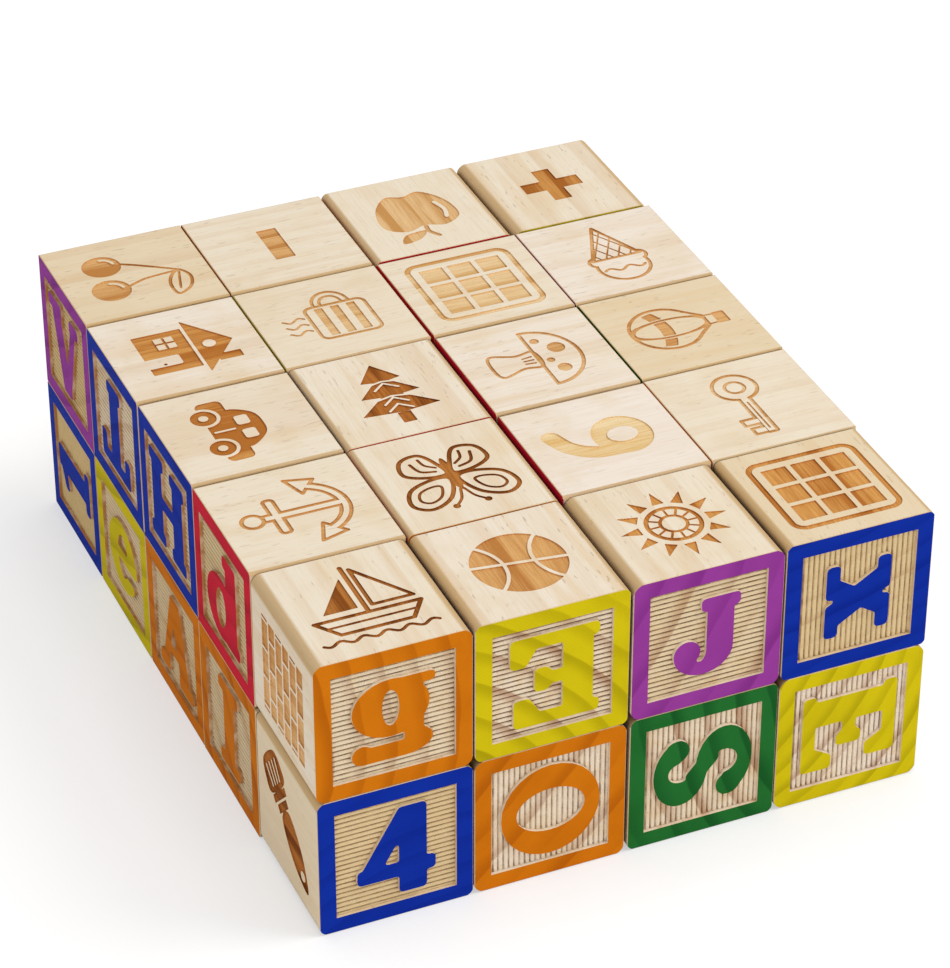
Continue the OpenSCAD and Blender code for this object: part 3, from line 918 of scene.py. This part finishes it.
class Nodes:
    """Short calls for the nodes of a material or of the world."""

    def __init__(self, owner):
        owner.use_nodes = True
        self.owner = owner
        self.tree = owner.node_tree

    def fill(self, node, inputs):
        """Links sockets to a node's inputs and sets plain values."""
        for name, value in inputs.items():
            if isinstance(value, bpy.types.NodeSocket):
                self.tree.links.new(value, node.inputs[name])
            else:
                node.inputs[name].default_value = value

    def new(self, kind, inputs, **settings):
        node = self.tree.nodes.new(kind)
        for name, value in settings.items():
            setattr(node, name, value)
        self.fill(node, inputs)
        return node

    def attribute(self, name, output="Fac"):
        return self.new("ShaderNodeAttribute", {}, attribute_name=name).outputs[output]

    def split(self, vector):
        return self.new("ShaderNodeSeparateXYZ", {0: vector}).outputs

    def calc(self, operation, *values):
        return self.new("ShaderNodeMath", dict(enumerate(values)), operation=operation).outputs[0]

    def times(self, a, b):
        return self.calc("MULTIPLY", a, b)

    def plus(self, a, b):
        return self.calc("ADD", a, b)

    def scaled(self, vector, by):
        return self.new("ShaderNodeVectorMath", {0: vector, 1: by}, operation="MULTIPLY").outputs[0]

    def noise(self, vector, scale, detail=2.0, rough=0.5):
        inputs = {"Vector": vector, "Scale": scale, "Detail": detail, "Roughness": rough}
        return self.new("ShaderNodeTexNoise", inputs).outputs["Fac"]

    def between(self, value, low, high, start=0.0, end=1.0):
        """Goes smoothly from start to end while the value goes from low to high."""
        inputs = {"Value": value, "From Min": low, "From Max": high, "To Min": start, "To Max": end}
        return self.new("ShaderNodeMapRange", inputs, interpolation_type="SMOOTHSTEP").outputs[0]

    def mix(self, share, a, b):
        """Two colours mixed; inputs 6 and 7 and output 2 are the node's colours."""
        return self.new("ShaderNodeMix", {0: share, 6: a, 7: b}, data_type="RGBA").outputs[2]

    def closed_in(self, reach, low, high, most):
        """How far other surfaces within reach close a spot in: 0 in the open, most in a corner."""
        node = self.new("ShaderNodeAmbientOcclusion", {"Distance": reach * MM}, samples=4)
        return self.between(node.outputs["AO"], low, high, most, 0.0)

    def bump(self, height, distance):
        inputs = {"Strength": 1.0, "Distance": distance, "Height": height}
        return self.new("ShaderNodeBump", inputs).outputs[0]

    def finish(self, colour, rough, normal, gloss):
        inputs = {"Base Color": colour, "Roughness": rough, "Normal": normal,
                  "Specular IOR Level": gloss}
        self.fill(self.tree.nodes["Principled BSDF"], inputs)
        return self.owner


class Grain:
    """Growth rings, fibres and pores of one block, as sockets of a material.

    The noises are stretched along the stick, and all sizes are in millimetres of the wood.
    """

    def __init__(self, n):
        self.place = n.attribute("grain", "Vector")
        per_mm, self.contrast, self.tint = n.split(n.attribute("look", "Vector"))
        x, y, _ = n.split(self.place)
        along = n.scaled(self.place, (1, 1, 0.12))
        far = n.calc("SQRT", n.plus(n.times(x, x), n.times(y, y)))
        wander = n.times(n.calc("SUBTRACT", n.noise(along, 0.045, 2), 0.5), 4.0)
        count = n.times(n.plus(far, wander), per_mm)
        ring = n.calc("FRACT", count)
        which = n.new("ShaderNodeTexWhiteNoise", {"W": n.calc("FLOOR", count)}, noise_dimensions="1D")
        rise = n.between(ring, 0.4, 0.9)
        drop = n.between(ring, 0.93, 1.0, 1.0, 0.0)
        strength = n.plus(n.times(which.outputs["Value"], 0.75), 0.25)
        self.late = n.times(n.times(rise, drop), strength)
        self.fibre = n.noise(n.scaled(self.place, (1, 1, 0.045)), 2.6, 4, 0.6)
        self.fleck = n.between(n.noise(n.scaled(self.place, (1, 1, 0.16)), 2.2, 1, 0.4), 0.68, 0.76)
        self.cloud = n.noise(self.place, 0.09, 3)
        self.band = n.between(n.noise(n.scaled(self.place, (1, 1, 0.08)), 0.3, 2), 0.48, 0.68)
        self.pores = n.noise(self.place, 5.0, 2, 0.6)
        marks = {"Vector": self.place, "Scale": 0.8, "Distortion": 1.5}
        self.saw = n.new("ShaderNodeTexWave", marks, bands_direction="DIAGONAL").outputs["Fac"]


# Heights of fine bumps in metres, and how rough and glossy the surfaces are
WOOD_BUMP = 0.00006
PAINT_BUMP = 0.00004
CUT_BUMP = 0.00007
BURNT_BUMP = 0.0001
CUT_ROUGH = 0.72
BURNT_ROUGH = 0.7
WOOD_GLOSS = 0.06
PAINT_GLOSS = 0.005
CUT_GLOSS = 0.02

PALE = linear(240, 228, 214)
CREAM = linear(236, 223, 201)
GOLDEN = linear(226, 204, 165)
LATE_WOOD = linear(216, 184, 146)
# Tan of the rounded edges: rubbed wear and painted shade
TAN = linear(196, 160, 106)
AMBER = linear(222, 188, 140)
PORE = linear(150, 112, 82)
# Painted shade in the gaps between the blocks
GAP_SHADE_BROWN = linear(84, 50, 28)


def bare_wood(n, g, late_share=0.55):
    """Colour of clean softwood."""
    colour = n.mix(n.between(g.tint, 0.1, 0.5), PALE, CREAM)
    colour = n.mix(n.between(g.tint, 0.65, 1.0), colour, GOLDEN)
    colour = n.mix(n.between(g.cloud, 0.45, 0.7, 0.0, 0.35), colour, GOLDEN)
    colour = n.mix(n.times(n.times(g.late, g.contrast), late_share), colour, LATE_WOOD)
    colour = n.mix(n.between(g.fibre, 0.42, 0.75, 0.0, 0.3), colour, LATE_WOOD)
    colour = n.mix(n.times(g.band, n.times(g.contrast, 0.4)), colour, AMBER)
    return n.mix(n.times(g.fleck, n.times(g.contrast, 0.4)), colour, PORE)


def wood_material():
    """The bare sides: clean wood, tan on the rounded edges as rubbed wear and painted shade, with
    painted shade in the gaps.
    """
    n = Nodes(bpy.data.materials.new("bare_softwood"))
    g = Grain(n)
    colour = bare_wood(n, g)
    # tan on the rounded edges, partly rubbed wear and partly painted shade
    colour = n.mix(n.times(n.attribute("worn_and_shaded"), 0.8), colour, TAN)
    # painted shade: dark brown where other surfaces close in, in the gaps between blocks and along the
    # floor
    colour = n.mix(n.closed_in(3.0, 0.1, 0.55, 0.9), colour, GAP_SHADE_BROWN)
    rough = n.between(g.fibre, 0.2, 0.8, 0.5, 0.66)
    height = n.plus(g.fibre, n.times(g.fleck, -0.6))
    return n.finish(colour, rough, n.bump(height, WOOD_BUMP), WOOD_GLOSS)


def paint_material(name, base, dark):
    """Thin paint that the rings and pores of the end grain show through."""
    n = Nodes(bpy.data.materials.new("paint_" + name))
    g = Grain(n)
    shade = n.times(g.late, n.plus(n.times(g.contrast, 0.6), 0.2))
    colour = n.mix(shade, base, dark)
    colour = n.mix(n.times(g.saw, 0.07), colour, dark)
    colour = n.mix(n.between(g.cloud, 0.35, 0.75, 0.0, 0.22), colour, dark)
    colour = n.mix(n.between(g.pores, 0.55, 0.8, 0.0, 0.14), colour, dark)
    rough = n.between(g.pores, 0.3, 0.7, 0.4, 0.55)
    height = n.plus(g.pores, n.times(g.late, 0.6))
    return n.finish(colour, rough, n.bump(height, PAINT_BUMP), PAINT_GLOSS)


RIB_TAN = linear(212, 184, 128)
RIB_BROWN = linear(150, 92, 58)
RIM_BROWN = linear(172, 112, 50)
# Brown of the grooves, with painted shade
GROOVE_BROWN_AND_SHADE = linear(108, 68, 40)
SCORCH = linear(104, 58, 26)


def rib_material():
    """The floor of a panel: end grain with strong rings, grooves darkened as brown grain and painted
    shade, and scorched corners.
    """
    n = Nodes(bpy.data.materials.new("ribbed_endgrain"))
    g = Grain(n)
    burn = n.attribute("burn")
    tan = n.plus(n.between(g.tint, 0.15, 0.8, 0.1, 0.6), n.times(burn, 0.3))
    colour = n.mix(tan, bare_wood(n, g, 0.3), RIB_TAN)
    rings = n.times(n.calc("POWER", g.late, 1.6), n.calc("POWER", g.contrast, 1.7))
    rings = n.times(rings, n.between(burn, 0.0, 1.0, 1.0, 0.35))
    colour = n.mix(rings, colour, RIB_BROWN)
    colour = n.mix(n.between(g.pores, 0.45, 0.75, 0.0, 0.25), colour, RIB_BROWN)
    patches = n.between(n.noise(g.place, 0.5, 3), 0.35, 0.65, 0.25, 1.0)
    colour = n.mix(n.times(patches, n.closed_in(1.1, 0.35, 0.8, 0.8)), colour, SCORCH)
    # painted shade with brown: the grooves darken, more in some patches than others
    depth = n.plus(n.times(g.contrast, 0.5), 0.35)
    depth = n.times(depth, n.between(n.noise(g.place, 0.4, 3), 0.35, 0.65, 0.6, 1.3))
    groove = n.between(n.attribute("groove"), 0.1, 0.9)
    colour = n.mix(n.times(depth, groove), colour, GROOVE_BROWN_AND_SHADE)
    return n.finish(colour, CUT_ROUGH, n.bump(n.plus(g.pores, g.fibre), CUT_BUMP), CUT_GLOSS)


def rim_material():
    """The walls of a panel and of its letter: cut wood, scorched here and there."""
    n = Nodes(bpy.data.materials.new("scorched_rim"))
    g = Grain(n)
    colour = n.mix(0.1, bare_wood(n, g, 0.2), RIB_TAN)
    patches = n.noise(g.place, 0.3, 2)
    scorch = n.times(n.attribute("burn"), n.between(patches, 0.3, 0.6, 0.45, 1.0))
    scorch = n.calc("MAXIMUM", scorch, n.between(patches, 0.5, 0.72, 0.0, 0.35))
    colour = n.mix(scorch, colour, RIM_BROWN)
    return n.finish(colour, CUT_ROUGH, n.bump(g.pores, CUT_BUMP), CUT_GLOSS)


# Light and dark streaks of burnt wood: hardly burnt, well burnt, almost charred
BURNT_LIGHT = (linear(244, 224, 182), linear(222, 164, 92), linear(176, 98, 34))
BURNT_DARK = (linear(226, 184, 118), linear(182, 112, 48), linear(98, 40, 10))


def burnt_material():
    """The floor and walls of an engraving, from straw-coloured to dark brown."""
    n = Nodes(bpy.data.materials.new("burnt_engraving"))
    g = Grain(n)
    tone = n.attribute("burn")
    well, charred = n.between(tone, 0.0, 0.4), n.between(tone, 0.5, 1.0)
    light, dark = [n.mix(charred, n.mix(well, first, second), third)
                   for first, second, third in (BURNT_LIGHT, BURNT_DARK)]
    streak = n.plus(n.times(g.late, 1.2), n.between(g.fibre, 0.35, 0.7, 0.0, 0.55))
    streak = n.plus(streak, n.times(g.band, 0.5))
    colour = n.mix(n.calc("MINIMUM", streak, 1.0), light, dark)
    colour = n.mix(n.between(g.pores, 0.5, 0.8, 0.0, 0.35), colour, dark)
    return n.finish(colour, BURNT_ROUGH, n.bump(n.plus(g.pores, g.fibre), BURNT_BUMP), CUT_GLOSS)


# Each paint as it is and where the grain darkens it
PAINTS = {
    "orange": (linear(204, 115, 16), linear(158, 76, 8)),
    "blue": (linear(18, 47, 154), linear(8, 28, 120)),
    "yellow": (linear(206, 187, 19), linear(152, 136, 9)),
    "purple": (linear(147, 60, 148), linear(110, 34, 114)),
    "green": (linear(36, 106, 46), linear(14, 66, 28)),
    "red": (linear(200, 32, 54), linear(150, 14, 36)),
}
wood = wood_material()
ribs = rib_material()
rim = rim_material()
burnt = burnt_material()
paints = {name: paint_material(name, *shades) for name, shades in PAINTS.items()}


# The blocks

def place_in_stack(block):
    column = round(block.centre[0] / PITCH + (COLUMNS - 1) / 2)
    row = round(block.centre[1] / PITCH + (ROWS - 1) / 2)
    level = round(block.centre[2] / BLOCK_EDGE - 0.5)
    return column, row, level


bodies = frame["record"]["behaviour"]["bodies"]
node_body = {node: body for body, nodes in bodies.items() for node in nodes}
for name in sorted(frame["nodes"]):
    block = Block(name, frame["nodes"][name])
    place = place_in_stack(block)
    mesh = build_mesh(block, place, random.Random(stack_index(*place) + GRAIN_SEED))
    colour_name = name.split("_")[1]
    for material in (wood, paints[colour_name], ribs, burnt, rim):
        mesh.materials.append(material)
    piece = bpy.data.objects.new(name + "_finish", mesh)
    bpy.context.scene.collection.objects.link(piece)
    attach(piece, node_body[name])
    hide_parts(name)


# Floor, light and camera: metres and watts, with the reach of the floor's painted contact shadow and the
# camera's lens and sensor in millimetres

# The floor lies a little under the blocks so that the two never share a plane
FLOOR_REACH = 6.0
FLOOR_HEIGHT = -0.00005
FLOOR_WHITE = (0.96, 0.96, 0.96, 1)
FLOOR_ROUGH = 0.9
FLOOR_GLOW = 1.17
# Half of what the camera sees of the floor is its glow, which is dimmed this far beside the blocks as a
# painted contact shadow
GLOW_SHARE = 0.5
PAINTED_SHADOW_REACH = 22.0
PAINTED_SHADOW_SHARE = 0.22

PURE_WHITE = (1, 1, 1, 1)
WORLD_STRENGTH = 0.64
LAMP_AIM = Vector((0, 0, 0.03))

# The camera as it was fitted to the corners of the stack in the photo
CAMERA_SPOT = (-0.24446, -0.57276, 0.45582)
CAMERA_LOOK = (0.3279, 0.7610, -0.5599)
CAMERA_LENS = 146.4
CAMERA_SENSOR = 36
CAMERA_NEAR = 0.01
CAMERA_FAR = 20


def backdrop_floor():
    """A white floor that stays white to the camera and still takes the stack's shadow, with a painted
    contact shadow beside the blocks.
    """
    mesh = bpy.data.meshes.new("floor")
    corners = [(-1, -1), (1, -1), (1, 1), (-1, 1)]
    mesh.from_pydata([(x * FLOOR_REACH, y * FLOOR_REACH, FLOOR_HEIGHT) for x, y in corners],
                     [], [(0, 1, 2, 3)])
    floor = bpy.data.objects.new("floor", mesh)
    bpy.context.scene.collection.objects.link(floor)
    n = Nodes(bpy.data.materials.new("floor_white"))
    surface = n.tree.nodes["Principled BSDF"]
    n.fill(surface, {"Base Color": FLOOR_WHITE, "Roughness": FLOOR_ROUGH, "Specular IOR Level": 0.0})
    # painted contact shadow: the floor's glow is dimmed where the blocks close in on it
    painted_shadow = n.closed_in(PAINTED_SHADOW_REACH, 0.5, 1.0, PAINTED_SHADOW_SHARE)
    glow = n.new("ShaderNodeEmission", {"Strength": n.calc("SUBTRACT", FLOOR_GLOW, painted_shadow)})
    rays = n.new("ShaderNodeLightPath", {}).outputs
    mirrored = n.calc("MAXIMUM", rays["Is Glossy Ray"], rays["Is Transmission Ray"])
    share = n.times(n.calc("MAXIMUM", rays["Is Camera Ray"], mirrored), GLOW_SHARE)
    blend = n.new("ShaderNodeMixShader", {0: share, 1: surface.outputs[0], 2: glow.outputs[0]})
    n.fill(n.tree.nodes["Material Output"], {"Surface": blend.outputs[0]})
    mesh.materials.append(n.owner)


def white_world():
    """An even white sky that lights the stack and is pure white where the camera sees it."""
    world = bpy.data.worlds.new("studio")
    bpy.context.scene.world = world
    n = Nodes(world)
    sky = n.tree.nodes["Background"]
    n.fill(sky, {"Strength": WORLD_STRENGTH, "Color": PURE_WHITE})
    white = n.new("ShaderNodeBackground", {"Color": PURE_WHITE})
    rays = n.new("ShaderNodeLightPath", {}).outputs
    seen = n.calc("MAXIMUM", rays["Is Camera Ray"], rays["Is Transmission Ray"])
    blend = n.new("ShaderNodeMixShader", {0: seen, 1: sky.outputs[0], 2: white.outputs[0]})
    n.fill(n.tree.nodes["World Output"], {"Surface": blend.outputs[0]})


def soft_lamp(name, spot, watts, size):
    lamp = bpy.data.lights.new(name, "AREA")
    lamp.shape = "DISK"
    lamp.energy = watts
    lamp.size = size
    holder = bpy.data.objects.new(name, lamp)
    holder.location = spot
    holder.rotation_euler = (LAMP_AIM - Vector(spot)).to_track_quat("-Z", "Y").to_euler()
    bpy.context.scene.collection.objects.link(holder)


def photo_camera():
    data = bpy.data.cameras.new("camera")
    data.sensor_fit = "HORIZONTAL"
    data.sensor_width = CAMERA_SENSOR
    data.lens = CAMERA_LENS
    data.clip_start = CAMERA_NEAR
    data.clip_end = CAMERA_FAR
    camera = bpy.data.objects.new("camera", data)
    camera.location = CAMERA_SPOT
    camera.rotation_euler = Vector(CAMERA_LOOK).to_track_quat("-Z", "Y").to_euler()
    bpy.context.scene.collection.objects.link(camera)
    bpy.context.scene.camera = camera


backdrop_floor()
white_world()
soft_lamp("key", spot=(0.75, -0.35, 1.25), watts=9.2, size=0.7)
soft_lamp("fill", spot=(-0.35, -1.28, 0.4), watts=3.6, size=0.8)
photo_camera()
bpy.context.scene.view_settings.view_transform = "Standard"
